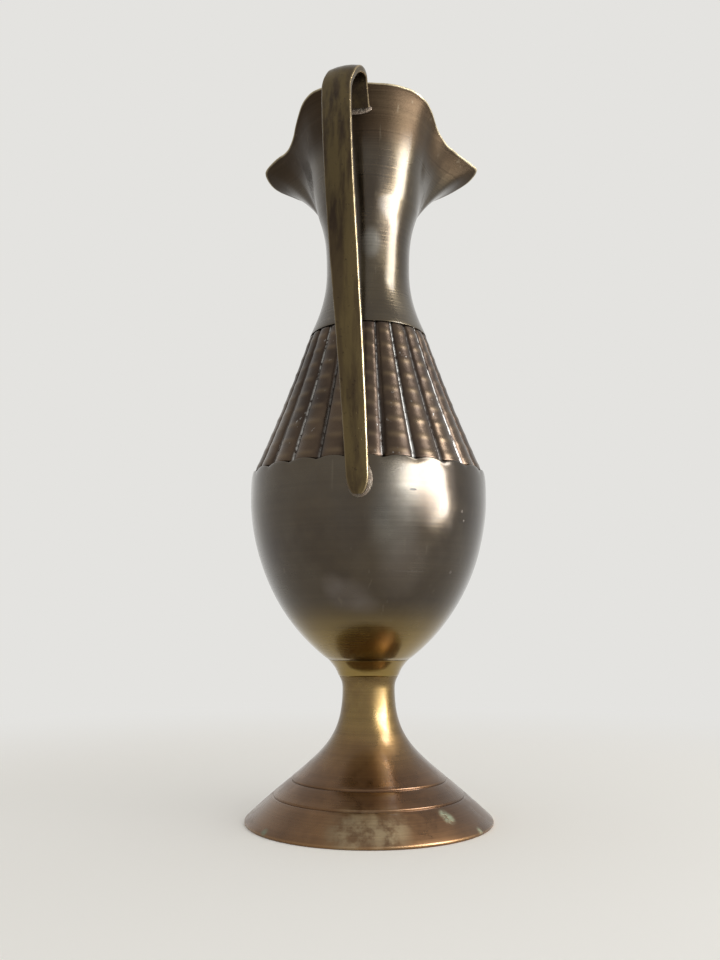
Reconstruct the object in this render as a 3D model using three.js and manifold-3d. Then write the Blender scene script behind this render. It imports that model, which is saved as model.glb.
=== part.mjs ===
// A tall footed brass jug: hollow trumpet foot, egg-shaped bowl, ribbed shoulder,
// hand-bent mouth with a spout and two wings, and a strap handle soldered on.
// Millimetres, +Z up. The origin is the middle of the foot's base, the handle is on the -Y side.
import * as THREE from 'three';
import { mergeVertices } from 'three/addons/utils/BufferGeometryUtils.js';
import Module from 'manifold-3d';

const wasm = await Module();
wasm.setup();

// Clearance that soldered pieces keep from each other, and the fineness of round shapes
const seatGap = 0.3;
const roundSteps = 64;
const degree = Math.PI / 180;

// Foot: the pulls say how far its outline keeps to the slope of the cone and of the waist
const footRadius = 39.3;
const footHeight = 44.9;
const footLipHeight = 0.9;
const footWall = 2.1;
const footWaistRadius = 8.5;
const footWaistDrop = 4;
const footConeReach = 21.4;
const footConeRise = 19.5;
const footWaistPull = 19.3;
const outerStepRadius = 30.6;
const innerStepRadius = 24.9;
const stepHeight = 0.6;
const stemTopFlare = 1.1;
const footCrownThickness = 7;

// Collar between stem and bowl, and the thin peg that holds foot, collar and bowl together
const collarHeight = 5.1;
const collarFlare = 3.4;
const pegRadius = 1.5;
const pegDepth = 11;
const pegHeadMargin = 2.3;
const pegHeadHeight = 1.6;
const pegHeadBevel = 1;

// Bowl
const bowlRadius = 39.3;
const bowlHeight = 61;
const bowlWidestDrop = 8.8;
const bowlLedge = 1;
const bowlFloorThickness = 4;
const bowlLowerReach = 23.2;
const bowlLowerRise = 16.8;
const bowlSidePull = 8;
const shellWall = 1.6;

// Ribbed shoulder
const shoulderHeight = 48;
const shoulderTopRadius = 20.2;
const shoulderHollow = 0.6;
const ribCount = 24;
const ribDepth = 1.1;
const ribTopShare = 0.55;
const ribPhase = 10.8;

// Neck
const neckHeight = 44;
const neckWaistRadius = 14.5;
const neckWaistRise = 23.6;
const neckShoulderPull = 1.2;
const neckWaistPull = 13.1;
const neckTopRadius = 17;
const neckTopFlare = 0.33;
const neckPull = 6.9;
const mouthWall = 1.3;

// Mouth: its round part's radius and its height over the neck
const mouthRadius = 25;
const mouthHeight = 38.5;

// Rim of the hand-bent mouth, station by station round from the handle: angle in degrees, radius and
// height as shares of the mouth's, and steepness of the lip in degrees
const rimStations = [
  { name: 'back', angle: 0, radius: 0.92, rise: 1.008, lip: 44 },
  { name: 'back right', angle: 24, radius: 0.96, rise: 0.995, lip: 44 },
  { name: 'right back', angle: 39, radius: 1, rise: 0.984, lip: 42 },
  { name: 'right corner', angle: 53, radius: 1.028, rise: 0.956, lip: 40 },
  { name: 'right side', angle: 68, radius: 1.008, rise: 0.919, lip: 38 },
  { name: 'right hollow', angle: 83, radius: 1.016, rise: 0.857, lip: 36 },
  { name: 'right rise', angle: 96, radius: 1.14, rise: 0.79, lip: 34 },
  { name: 'right wing root', angle: 106, radius: 1.36, rise: 0.774, lip: 28 },
  { name: 'right wing', angle: 113, radius: 1.648, rise: 0.758, lip: 24 },
  { name: 'right wing tip', angle: 116.5, radius: 1.8, rise: 0.745, lip: 22 },
  { name: 'right wing front', angle: 122, radius: 1.792, rise: 0.691, lip: 22 },
  { name: 'right wing end', angle: 131, radius: 1.648, rise: 0.613, lip: 26 },
  { name: 'right front', angle: 147, radius: 1.496, rise: 0.556, lip: 32 },
  { name: 'spout', angle: 180, radius: 1.992, rise: 0.66, lip: 26 },
  { name: 'left front', angle: 214, radius: 1.56, rise: 0.587, lip: 32 },
  { name: 'left wing end', angle: 227, radius: 1.688, rise: 0.639, lip: 26 },
  { name: 'left wing front', angle: 238, radius: 1.832, rise: 0.701, lip: 22 },
  { name: 'left wing tip', angle: 245, radius: 1.824, rise: 0.792, lip: 22 },
  { name: 'left wing', angle: 250, radius: 1.568, rise: 0.836, lip: 24 },
  { name: 'left wing root', angle: 258, radius: 1.28, rise: 0.823, lip: 28 },
  { name: 'left rise', angle: 270, radius: 1.116, rise: 0.836, lip: 34 },
  { name: 'left side', angle: 290, radius: 1.044, rise: 0.919, lip: 38 },
  { name: 'left corner', angle: 306, radius: 1.048, rise: 0.992, lip: 40 },
  { name: 'left back', angle: 324, radius: 1.02, rise: 1.016, lip: 42 },
  { name: 'back left', angle: 345, radius: 0.936, rise: 1.013, lip: 44 },
].map((station) => ({
  ...station,
  radius: station.radius * mouthRadius,
  rise: station.rise * mouthHeight,
}));
const lipPull = 12;
const lipPullShare = 0.5;

// Strap handle: it hooks over from the back of the mouth and runs down to the bowl
const strapThickness = 2.8;
const strapTopWidth = 9.9;
const strapMidWidth = 8.8;
const strapFootWidth = 6.6;
const strapMidShare = 0.5;
const strapEdge = 0.7;
const strapCrown = 0.5;
const strapReach = 48.2;
const strapBowLength = 34;
const strapSeatDrop = 8.3;
const strapFootDrop = 12.1;
const hookRadius = 7.8;
const hookDrop = 10.9;
const hookRimClearance = 1.6;
const hookStart = 130;
const hookFinish = 15;
const strapLean = 7;
const strapSway = 0.7;
const hookReturn = 4.2;
const hookReturnStart = 0.06;
const hookReturnEnd = 0.17;
const strapTopTwist = 6;
const strapFootTwist = 4;

// Solder
const solderSpread = 1.3;
const solderRingSize = 1.6;

const brassBody = { color: 0x8a7a50, metalness: 0.9, roughness: 0.32 };
const brassShoulder = { color: 0x5c4630, metalness: 0.8, roughness: 0.45 };
const brassFoot = { color: 0xa8762f, metalness: 0.9, roughness: 0.35 };
const brassHandle = { color: 0x6b5836, metalness: 0.85, roughness: 0.42 };
const tinSolder = { color: 0xb5aea0, metalness: 0.6, roughness: 0.6 };

// Heights of the joints, each standing on the piece below
const collarBottom = footHeight;
const bowlBottom = collarBottom + collarHeight;
const shoulderBottom = bowlBottom + bowlHeight;
const neckBottom = shoulderBottom + shoulderHeight;
const mouthBottom = neckBottom + neckHeight;

const group = new THREE.Group();

// Adds a named sub-part with its own material
function addPart(name, geometry, finish) {
  const mesh = new THREE.Mesh(geometry, new THREE.MeshStandardMaterial(finish));
  mesh.name = name;
  group.add(mesh);
}

// Turns an outline of [radius, height] points about the Z axis
function turned(outline, steps = roundSteps) {
  const points = outline.map(([radius, height]) => new THREE.Vector2(radius, height));
  const geometry = new THREE.LatheGeometry(points, steps);
  geometry.rotateX(Math.PI / 2);
  return geometry;
}

// Points of a cubic curve between two [radius, height] ends, bent by two pull points
function curvePoints(start, startPull, endPull, end, count) {
  const ends = [start, startPull, endPull, end].map((point) => new THREE.Vector2(...point));
  const curve = new THREE.CubicBezierCurve(...ends);
  return curve.getPoints(count).map((point) => [point.x, point.y]);
}

// Joins rings of equal length into one closed body, capped at both ends or closed on itself
function ringBody(rings, closesOnItself) {
  const around = rings[0].length;
  const index = [];
  const spans = closesOnItself ? rings.length : rings.length - 1;
  for (let row = 0; row < spans; row += 1) {
    const near = row * around;
    const far = ((row + 1) % rings.length) * around;
    for (let column = 0; column < around; column += 1) {
      const next = (column + 1) % around;
      index.push(near + column, near + next, far + next);
      index.push(near + column, far + next, far + column);
    }
  }
  if (!closesOnItself) {
    const last = (rings.length - 1) * around;
    for (let column = 1; column < around - 1; column += 1) {
      index.push(0, column + 1, column);
      index.push(last, last + column, last + column + 1);
    }
  }
  const positions = rings.flatMap((ring) => ring.flatMap((point) => point.toArray()));
  const geometry = new THREE.BufferGeometry();
  geometry.setAttribute('position', new THREE.Float32BufferAttribute(positions, 3));
  geometry.setIndex(index);
  return geometry;
}

// A closed mesh as a solid that can be cut, and back
function toSolid(geometry) {
  const bare = geometry.clone();
  bare.deleteAttribute('normal');
  bare.deleteAttribute('uv');
  const merged = mergeVertices(bare, 1e-4);
  return new wasm.Manifold(new wasm.Mesh({
    numProp: 3,
    vertProperties: new Float32Array(merged.attributes.position.array),
    triVerts: new Uint32Array(merged.index.array),
  }));
}

function toGeometry(solid) {
  const mesh = solid.getMesh();
  const geometry = new THREE.BufferGeometry();
  geometry.setAttribute('position', new THREE.Float32BufferAttribute(mesh.vertProperties, 3));
  geometry.setIndex(Array.from(mesh.triVerts));
  return geometry;
}

// A point at an angle from the handle side
function polarPoint(angle, radius, height) {
  return new THREE.Vector3(radius * Math.sin(angle), -radius * Math.cos(angle), height);
}

// Foot: concave trumpet with two turned steps, hollow underneath, with a blind bore for the peg
const boreRadius = pegRadius + seatGap;
const boreBottom = footHeight - pegDepth;
const footWaistHeight = footHeight - footWaistDrop;
const stemTopRadius = footWaistRadius + stemTopFlare;
const hollowTop = boreBottom - footCrownThickness;

// Adds the small turned steps to an outline that runs inwards and up
function withSteps(outline) {
  const stepped = [];
  outline.forEach((point, place) => {
    stepped.push(point);
    const next = outline[place + 1] ?? point;
    [outerStepRadius, innerStepRadius].forEach((radius) => {
      if (point[0] <= radius || next[0] > radius) return;
      const share = (point[0] - radius) / (point[0] - next[0]);
      const height = point[1] + share * (next[1] - point[1]);
      const half = stepHeight / 2;
      stepped.push([radius + half, height - half], [radius - half, height - half], [radius - half, height + half]);
    });
  });
  return stepped;
}

const footOutside = curvePoints(
  [footRadius, footLipHeight],
  [footRadius - footConeReach, footLipHeight + footConeRise],
  [footWaistRadius, footWaistHeight - footWaistPull],
  [footWaistRadius, footWaistHeight],
  11,
);
const stemTop = curvePoints(
  [footWaistRadius, footWaistHeight],
  [footWaistRadius, footHeight - footWaistDrop / 2],
  [stemTopRadius - stemTopFlare / 2, footHeight - stemTopFlare],
  [stemTopRadius, footHeight],
  4,
);
const footHollow = curvePoints(
  [0, hollowTop],
  [footWaistRadius, hollowTop],
  [footRadius - footConeReach - footWall, footLipHeight + footConeRise - footWall],
  [footRadius - footWall, 0],
  8,
);
addPart('foot', turned([
  ...footHollow,
  [footRadius, 0],
  ...withSteps(footOutside),
  ...stemTop.slice(1),
  [boreRadius, footHeight],
  [boreRadius, boreBottom],
  [0, boreBottom],
]), brassFoot);

// Collar: a short flaring ring whose lower edge is eased, so that a fine line shows at each seam
const collarTopRadius = stemTopRadius + collarFlare;
const seamEase = 0.25;
addPart('stem_collar', turned([
  [boreRadius, collarBottom],
  [stemTopRadius, collarBottom],
  ...curvePoints(
    [stemTopRadius + seamEase, collarBottom + seamEase],
    [stemTopRadius + collarFlare / 4, collarBottom + collarHeight * 0.4],
    [collarTopRadius - collarFlare / 2, bowlBottom - collarHeight * 0.36],
    [collarTopRadius, bowlBottom],
    4,
  ),
  [boreRadius, bowlBottom],
  [boreRadius, collarBottom],
]), brassBody);

// Bowl: egg-shaped shell with a thick floor, a rounded shoulder and a flat rim for the next piece
const shoulderBaseRadius = bowlRadius - bowlLedge;
const ledgeRound = bowlLedge / 2;
const bowlWidest = shoulderBottom - bowlWidestDrop;
const bowlInside = bowlRadius - shellWall;
const rimInside = shoulderBaseRadius - ribDepth - shellWall;
const bowlFloor = bowlBottom + bowlFloorThickness;
const pegHeadRadius = pegRadius + pegHeadMargin;
const floorRadius = pegHeadRadius + shellWall;
const bowlOutside = curvePoints(
  [collarTopRadius, bowlBottom],
  [collarTopRadius + bowlLowerReach, bowlBottom + bowlLowerRise],
  [bowlRadius, bowlWidest - bowlSidePull],
  [bowlRadius, bowlWidest],
  10,
);
const bowlShoulder = curvePoints(
  [bowlRadius, bowlWidest],
  [bowlRadius, bowlWidest + bowlWidestDrop / 2],
  [bowlRadius, shoulderBottom - ledgeRound],
  [bowlRadius - ledgeRound, shoulderBottom],
  4,
).slice(1);
const bowlHollow = curvePoints(
  [bowlInside, bowlWidest],
  [bowlInside, bowlWidest - bowlSidePull + shellWall],
  [collarTopRadius + bowlLowerReach, bowlBottom + bowlLowerRise + shellWall],
  [floorRadius, bowlFloor],
  7,
);
addPart('bowl', turned([
  [boreRadius, bowlBottom],
  ...bowlOutside,
  ...bowlShoulder,
  [rimInside, shoulderBottom],
  [rimInside, shoulderBottom - shellWall],
  [bowlInside, shoulderBottom - 2.5 * shellWall],
  ...bowlHollow,
  [boreRadius, bowlFloor],
  [boreRadius, bowlBottom],
]), brassBody);

const pegTop = bowlFloor + seatGap;
addPart('joining_peg', turned([
  [0, boreBottom + seatGap],
  [pegRadius, boreBottom + seatGap],
  [pegRadius, pegTop],
  [pegHeadRadius, pegTop],
  [pegHeadRadius - pegHeadBevel, pegTop + pegHeadHeight],
  [0, pegTop + pegHeadHeight],
], 24), brassHandle);

// Ribbed shoulder: a hollow cone of convex ribs with sharp valleys between them
const ribSteps = 4;
const shoulderRows = 8;
const shoulderInnerRows = 3;

// Radius of the shoulder over the rib crests, from its base at 0 to its top at 1
function crestRadius(share) {
  const cone = shoulderBaseRadius + (shoulderTopRadius - shoulderBaseRadius) * share;
  return cone - shoulderHollow * Math.sin(Math.PI * share);
}

// How far the rib surface has fallen, 0 on the crest and 1 in the valley
function ribFall(angle) {
  const turn = (angle / degree - ribPhase) / (360 / ribCount);
  const across = 2 * (turn - Math.floor(turn)) - 1;
  return across * across;
}

function shoulderRing(share, radiusAt) {
  const columns = ribCount * ribSteps;
  return Array.from({ length: columns }, (unused, column) => {
    const angle = (column / columns) * 2 * Math.PI + ribPhase * degree;
    return polarPoint(angle, radiusAt(angle), shoulderBottom + shoulderHeight * share);
  });
}

const shoulderRings = [];
for (let row = 0; row <= shoulderRows; row += 1) {
  const share = row / shoulderRows;
  const depth = ribDepth * (1 + (ribTopShare - 1) * share);
  shoulderRings.push(shoulderRing(share, (angle) => crestRadius(share) - depth * ribFall(angle)));
}
for (let row = shoulderInnerRows; row >= 0; row -= 1) {
  const share = row / shoulderInnerRows;
  shoulderRings.push(shoulderRing(share, () => crestRadius(share) - ribDepth - shellWall));
}
addPart('ribbed_shoulder', ringBody(shoulderRings, true), brassShoulder);

// Neck and mouth: a round neck that opens into a raised back lobe, two wings and a spout
const neckColumns = 60;
const neckFootInside = shoulderTopRadius - ribDepth - shellWall;
const neckWaist = neckBottom + neckWaistRise;
const neckOutside = [
  ...curvePoints(
    [shoulderTopRadius, neckBottom],
    [shoulderTopRadius, neckBottom + neckShoulderPull],
    [neckWaistRadius, neckWaist - neckWaistPull],
    [neckWaistRadius, neckWaist],
    4,
  ),
  ...curvePoints(
    [neckWaistRadius, neckWaist],
    [neckWaistRadius, neckWaist + neckPull],
    [neckTopRadius - neckTopFlare * neckPull, mouthBottom - neckPull],
    [neckTopRadius, mouthBottom],
    3,
  ).slice(1),
];

// The rim as a closed smooth curve through its stations
const rimCurve = new THREE.CatmullRomCurve3(
  rimStations.map(({ angle, radius, rise }) => polarPoint(angle * degree, radius, mouthBottom + rise)),
  true,
  'centripetal',
);

// Steepness of the lip at an angle, eased from one station to the next
function lipAngleAt(angle) {
  const turn = (angle / degree + 360) % 360;
  const closed = [...rimStations, { ...rimStations[0], angle: 360 }];
  const upper = Math.max(1, closed.findIndex((station) => station.angle >= turn));
  const from = closed[upper - 1];
  const to = closed[upper];
  const share = (turn - from.angle) / (to.angle - from.angle);
  const eased = share * share * (3 - 2 * share);
  return (from.lip + (to.lip - from.lip) * eased) * degree;
}

// One column of the wall's outside, from the foot of the neck up to a point of the rim
function neckColumn(rimPoint) {
  const angle = Math.atan2(rimPoint.x, -rimPoint.y);
  const rimRadius = Math.hypot(rimPoint.x, rimPoint.y);
  const lipAngle = lipAngleAt(angle);
  const pull = Math.min(lipPull, (lipPullShare * (rimRadius - neckTopRadius)) / Math.cos(lipAngle));
  const flare = curvePoints(
    [neckTopRadius, mouthBottom],
    [neckTopRadius + neckTopFlare * neckPull, mouthBottom + neckPull],
    [rimRadius - pull * Math.cos(lipAngle), rimPoint.z - pull * Math.sin(lipAngle)],
    [rimRadius, rimPoint.z],
    8,
  ).slice(1);
  return [...neckOutside, ...flare].map(([radius, height]) => polarPoint(angle, radius, height));
}

const wallColumns = Array.from(
  { length: neckColumns },
  (unused, column) => neckColumn(rimCurve.getPoint(column / neckColumns)),
);
const wallRings = wallColumns[0].map((unused, row) => wallColumns.map((column) => column[row]));

// Outward direction of the wall at one point of the grid
function wallNormal(row, column) {
  const up = Math.min(row + 1, wallRings.length - 1);
  const down = Math.max(row - 1, 0);
  const next = (column + 1) % neckColumns;
  const previous = (column + neckColumns - 1) % neckColumns;
  const around = wallRings[row][next].clone().sub(wallRings[row][previous]);
  const rise = wallRings[up][column].clone().sub(wallRings[down][column]);
  return around.cross(rise).normalize();
}

// The wall's inside: its outside moved in by the wall, with a flat seat at the foot of the neck
const innerRings = wallRings.map((ring, row) => ring.map((point, column) => {
  if (row > 0) return point.clone().addScaledVector(wallNormal(row, column), -mouthWall);
  const angle = Math.atan2(point.x, -point.y);
  return polarPoint(angle, neckFootInside, neckBottom);
}));
addPart('neck_and_mouth', ringBody([...wallRings, ...innerRings.reverse()], true), brassBody);

// How far the wall's outside lies from the axis behind the handle, at a height
function backReach(height) {
  const column = wallColumns[0];
  const upper = column.findIndex((point) => point.z >= height);
  const share = (height - column[upper - 1].z) / (column[upper].z - column[upper - 1].z);
  return -THREE.MathUtils.lerp(column[upper - 1].y, column[upper].y, share);
}

// Path of the strap in the plane of the handle: seat on the mouth, hook, bow, foot on the bowl
const rimBack = rimStations[0];
const strapSeatHeight = mouthBottom + rimBack.rise - strapSeatDrop;
const strapSeatReach = backReach(strapSeatHeight) + strapThickness / 2 + seatGap / 2;
const hookHeight = mouthBottom + rimBack.rise - hookDrop;
const hookReach = rimBack.radius + hookRimClearance + hookRadius;
const strapFootHeight = shoulderBottom - strapFootDrop;
const strapFootReach = bowlRadius + seatGap + strapThickness / 2;

const hookPoints = Array.from({ length: 6 }, (unused, step) => {
  const angle = (hookStart + (hookFinish - hookStart) * (step / 5)) * degree;
  return [hookReach + hookRadius * Math.cos(angle), hookHeight + hookRadius * Math.sin(angle)];
});
const hookEnd = hookPoints[hookPoints.length - 1];
const bowReach = (8 * strapReach - hookEnd[0] - strapFootReach) / 6;
const bowPoints = curvePoints(
  hookEnd,
  [bowReach, hookEnd[1] - strapBowLength],
  [bowReach, strapFootHeight + strapBowLength],
  [strapFootReach, strapFootHeight],
  9,
);
const strapPath = new THREE.CatmullRomCurve3(
  [[strapSeatReach, strapSeatHeight], ...hookPoints, ...bowPoints.slice(1)]
    .map(([reach, height]) => new THREE.Vector3(0, -reach, height)),
  false,
  'centripetal',
);

// Width of the strap along its length, 0 at the mouth and 1 at the bowl
function strapWidth(share) {
  const upper = Math.min(share / strapMidShare, 1);
  const lower = Math.max((share - strapMidShare) / (1 - strapMidShare), 0);
  return strapTopWidth + (strapMidWidth - strapTopWidth) * upper + (strapFootWidth - strapMidWidth) * lower;
}

// Sideways lean of the strap: none at the bowl, most just below the hook, which swings part of it back
function strapShift(height, share) {
  const climb = (height - strapFootHeight) / (hookHeight + hookRadius - strapFootHeight);
  const sway = climb * climb * (3 - 2 * climb);
  const hook = 1 - THREE.MathUtils.smoothstep(share, hookReturnStart, hookReturnEnd);
  return -strapLean * ((1 - strapSway) * climb + strapSway * sway) + hookReturn * hook;
}

// Section of the strap: flat inside, gently crowned outside, eased edges
function strapSection(width, thickness) {
  const half = width / 2;
  const inside = -thickness / 2;
  const outside = thickness / 2;
  return [
    [-half, inside + strapEdge],
    [-half + strapEdge, inside],
    [half - strapEdge, inside],
    [half, inside + strapEdge],
    [half, outside - strapEdge],
    [half - strapEdge, outside - strapCrown],
    [0, outside],
    [-half + strapEdge, outside - strapCrown],
    [-half, outside - strapEdge],
  ];
}

// The strap, grown all round by a clearance; its foot ends in a rounded tongue
function strapBody(grow) {
  const steps = 36;
  const length = strapPath.getLength();
  const rings = [];
  for (let step = 0; step <= steps; step += 1) {
    const share = step / steps;
    const point = strapPath.getPointAt(share);
    const tangent = strapPath.getTangentAt(share);
    const outward = new THREE.Vector3(0, tangent.z, -tangent.y);
    const fromFoot = Math.min(1, ((1 - share) * length) / strapFootWidth + 0.12);
    const tongue = Math.sqrt(1 - (1 - fromFoot) ** 2);
    const twist = (strapTopTwist + (strapFootTwist - strapTopTwist) * share) * degree;
    const shift = strapShift(point.z, share);
    const section = strapSection(strapWidth(share) * tongue + 2 * grow, strapThickness + 2 * grow);
    rings.push(section.map(([across, out]) => {
      const side = across * Math.cos(twist) - out * Math.sin(twist);
      const away = across * Math.sin(twist) + out * Math.cos(twist);
      return new THREE.Vector3(shift + side, point.y + outward.y * away, point.z + outward.z * away);
    }));
  }
  return ringBody(rings, false);
}
addPart('handle', strapBody(0), brassHandle);

// Solder: a fillet round each end of the strap, cut by the strap and the wall it sits on
const strapBlank = toSolid(strapBody(seatGap));
const bowlBlank = toSolid(turned([
  [0, bowlBottom],
  ...[...bowlOutside, ...bowlShoulder].map(([radius, height]) => [radius + seatGap, height]),
  [0, shoulderBottom],
]));
const neckBlank = toSolid(ringBody(wallRings.map((ring) => ring.map((point) => {
  const angle = Math.atan2(point.x, -point.y);
  return polarPoint(angle, Math.hypot(point.x, point.y) + seatGap, point.z);
})), false));

// A drop of solder with half sizes across, out and up
function solderDrop(across, out, up, x, y, z) {
  const geometry = new THREE.SphereGeometry(1, 18, 10);
  geometry.scale(across, out, up);
  geometry.translate(x, y, z);
  return toSolid(geometry);
}

const footDrop = solderDrop(
  strapFootWidth / 2 + solderSpread,
  solderSpread,
  strapFootWidth,
  0,
  -bowlRadius,
  strapFootHeight + strapFootWidth / 2,
);
addPart('handle_foot_solder', toGeometry(footDrop.subtract(strapBlank).subtract(bowlBlank)), tinSolder);

const seatDrop = solderDrop(
  strapTopWidth / 2 + solderSpread,
  solderSpread,
  strapThickness / 2 + solderSpread,
  strapShift(strapSeatHeight, 0),
  -strapSeatReach + strapThickness / 2,
  strapSeatHeight,
);
addPart('handle_top_solder', toGeometry(seatDrop.subtract(strapBlank).subtract(neckBlank)), tinSolder);

// Rings of solder inside the two joints of the shell, against the leaning wall of the shoulder
function jointSolder(name, insideRadius, height) {
  const seat = insideRadius - seatGap;
  const ring = turned([
    [seat, height - solderRingSize],
    [seat - solderRingSize * 0.4, height + solderRingSize],
    [seat - solderRingSize, height],
    [seat, height - solderRingSize],
  ], 48);
  addPart(name, ring, tinSolder);
}
jointSolder('bowl_joint_solder', rimInside, shoulderBottom);
jointSolder('neck_joint_solder', neckFootInside, neckBottom);

export default group;
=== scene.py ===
import math
import bpy
import bmesh
from mathutils import Euler, Matrix, Vector, noise
from mathutils.geometry import interpolate_bezier


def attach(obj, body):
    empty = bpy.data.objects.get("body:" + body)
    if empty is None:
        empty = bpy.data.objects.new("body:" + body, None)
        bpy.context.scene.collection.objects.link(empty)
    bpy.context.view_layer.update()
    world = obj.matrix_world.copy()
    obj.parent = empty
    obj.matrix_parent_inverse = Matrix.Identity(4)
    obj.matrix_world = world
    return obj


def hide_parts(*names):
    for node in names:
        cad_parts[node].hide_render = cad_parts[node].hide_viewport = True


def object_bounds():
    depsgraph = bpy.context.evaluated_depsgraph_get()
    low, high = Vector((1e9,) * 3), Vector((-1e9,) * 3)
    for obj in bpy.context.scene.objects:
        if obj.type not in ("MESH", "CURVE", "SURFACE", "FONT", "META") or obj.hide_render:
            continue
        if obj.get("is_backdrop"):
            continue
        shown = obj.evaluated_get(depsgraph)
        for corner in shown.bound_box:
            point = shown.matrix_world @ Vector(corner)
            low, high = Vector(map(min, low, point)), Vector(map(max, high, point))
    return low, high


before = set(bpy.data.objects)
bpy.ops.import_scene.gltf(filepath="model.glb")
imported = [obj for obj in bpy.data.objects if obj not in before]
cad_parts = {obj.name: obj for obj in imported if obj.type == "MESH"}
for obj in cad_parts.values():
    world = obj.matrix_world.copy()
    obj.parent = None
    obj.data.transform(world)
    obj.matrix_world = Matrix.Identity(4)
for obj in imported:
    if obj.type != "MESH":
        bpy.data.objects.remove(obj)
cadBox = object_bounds()
print("frame loaded:", len(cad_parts), "solids")

# shapes are drawn in millimetres and brought to metres when a piece is finished
millimetre = 0.001
fullTurn = 2 * math.pi

# sizes that more than one piece shares
footHeight, collarHeight, bowlHeight, shoulderHeight = 44.9, 5.1, 61.0, 48.0
bowlTop = footHeight + collarHeight + bowlHeight
neckBottom = bowlTop + shoulderHeight
bodyRadius, neckRadius, collarRadius = 39.3, 20.2, 13.0
ribCount, ribPhase, ribDepth = 24, 10.8, 1.1
boreRadius, sheetWall = 1.8, 1.6


def bend(start, startPull, endPull, end, count):
    # count + 1 points of a curve from start to end, as (radius, height)
    ends = [Vector(point) for point in (start, startPull, endPull, end)]
    return [(point.x, point.y) for point in interpolate_bezier(*ends, count + 1)]


def spinOutline(outline, steps, closed=True):
    # turns an outline of (radius, height) points about the axis of the jug
    bm = bmesh.new()
    corners = [bm.verts.new((radius, 0, height)) for radius, height in outline]
    pairs = list(zip(corners, corners[1:] + corners[:1] if closed else corners[1:]))
    edges = [bm.edges.new(pair) for pair in pairs]
    bmesh.ops.spin(bm, geom=corners + edges, axis=(0, 0, 1), cent=(0, 0, 0),
                   steps=steps, angle=fullTurn, use_merge=True)
    bmesh.ops.remove_doubles(bm, verts=bm.verts[:], dist=0.0005)
    loose = [edge for edge in bm.edges if not edge.link_faces]
    bmesh.ops.delete(bm, geom=loose, context="EDGES")
    bmesh.ops.recalc_face_normals(bm, faces=bm.faces[:])
    return bm


def easeRings(bm, rings, size, segments=3):
    # rounds the turned corners that lie at these (radius, height) places
    def onRing(corner):
        radius = math.hypot(corner.co.x, corner.co.y)
        return any(abs(radius - ring[0]) < 0.02 and abs(corner.co.z - ring[1]) < 0.02
                   for ring in rings)
    edges = [edge for edge in bm.edges if onRing(edge.verts[0]) and onRing(edge.verts[1])
             and abs(edge.verts[0].co.z - edge.verts[1].co.z) < 0.001]
    bmesh.ops.bevel(bm, geom=edges, offset=size, offset_type="OFFSET", segments=segments,
                    profile=0.5, affect="EDGES", material=-1, clamp_overlap=True)


def polar(angle, radius, height):
    # a point at an angle (radians) from the handle side
    return Vector((radius * math.sin(angle), -radius * math.cos(angle), height))


def angleOf(point):
    return math.atan2(point.x, -point.y)


def splinePoint(points, share, closed):
    # a smooth curve through points, spaced by the root of their distance
    count = len(points)
    place = share * (count if closed else count - 1)
    first = min(int(place), count - 1 if closed else count - 2)
    along = place - first

    def pick(index):
        if closed:
            return points[index % count]
        if index < 0:
            return points[0] * 2 - points[1]
        if index >= count:
            return points[-1] * 2 - points[-2]
        return points[index]

    before, start, end, after = (pick(first + step) for step in (-1, 0, 1, 2))
    gapA, gapB, gapC = (math.sqrt((far - near).length)
                        for near, far in ((before, start), (start, end), (end, after)))
    leave = ((start - before) / gapA - (end - before) / (gapA + gapB) + (end - start) / gapB) * gapB
    arrive = ((end - start) / gapB - (after - start) / (gapB + gapC) + (after - end) / gapC) * gapB
    return (start + leave * along + (end * 3 - start * 3 - leave * 2 - arrive) * along ** 2
            + (start * 2 - end * 2 + leave + arrive) * along ** 3)


def smoothStep(low, high, value):
    share = min(max((value - low) / (high - low), 0), 1)
    return share * share * (3 - 2 * share)


def finishPiece(bm, name, material, nodeName, sharpAngle=40):
    bmesh.ops.scale(bm, vec=(millimetre,) * 3, verts=bm.verts[:])
    mesh = bpy.data.meshes.new(name)
    bm.to_mesh(mesh)
    bm.free()
    mesh.shade_smooth()
    mesh.set_sharp_from_angle(angle=math.radians(sharpAngle))
    piece = bpy.data.objects.new(name, mesh)
    bpy.context.scene.collection.objects.link(piece)
    mesh.materials.append(material)
    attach(piece, "root")
    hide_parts(nodeName)
    print(name, "made,", sum(len(face.vertices) - 2 for face in mesh.polygons), "triangles")
    return piece


def addNode(tree, kind, options=None, inputs=None):
    node = tree.nodes.new("ShaderNode" + kind)
    for key, value in (options or {}).items():
        setattr(node, key, value)
    for key, value in (inputs or {}).items():
        if isinstance(value, bpy.types.NodeSocket):
            tree.links.new(value, node.inputs[key])
        else:
            node.inputs[key].default_value = value
    return node


def calc(tree, operation, first, second=0.0):
    return addNode(tree, "Math", {"operation": operation}, {0: first, 1: second}).outputs[0]


def times(tree, *parts):
    total = parts[0]
    for part in parts[1:]:
        total = calc(tree, "MULTIPLY", total, part)
    return total


def keepWithin(tree, value, low, high, newLow=0.0, newHigh=1.0):
    # spreads low..high to newLow..newHigh, held at both ends
    inputs = {"Value": value, "From Min": low, "From Max": high, "To Min": newLow, "To Max": newHigh}
    options = {"clamp": True, "interpolation_type": "SMOOTHSTEP"}
    return addNode(tree, "MapRange", options, inputs).outputs[0]


def blendColor(tree, share, under, over, mode="MIX"):
    node = addNode(tree, "Mix", {"data_type": "RGBA", "blend_type": mode, "clamp_factor": True})
    for socket, value in ((node.inputs[0], share), (node.inputs[6], under), (node.inputs[7], over)):
        if isinstance(value, bpy.types.NodeSocket):
            tree.links.new(value, socket)
        else:
            socket.default_value = value
    return node.outputs[2]


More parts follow.
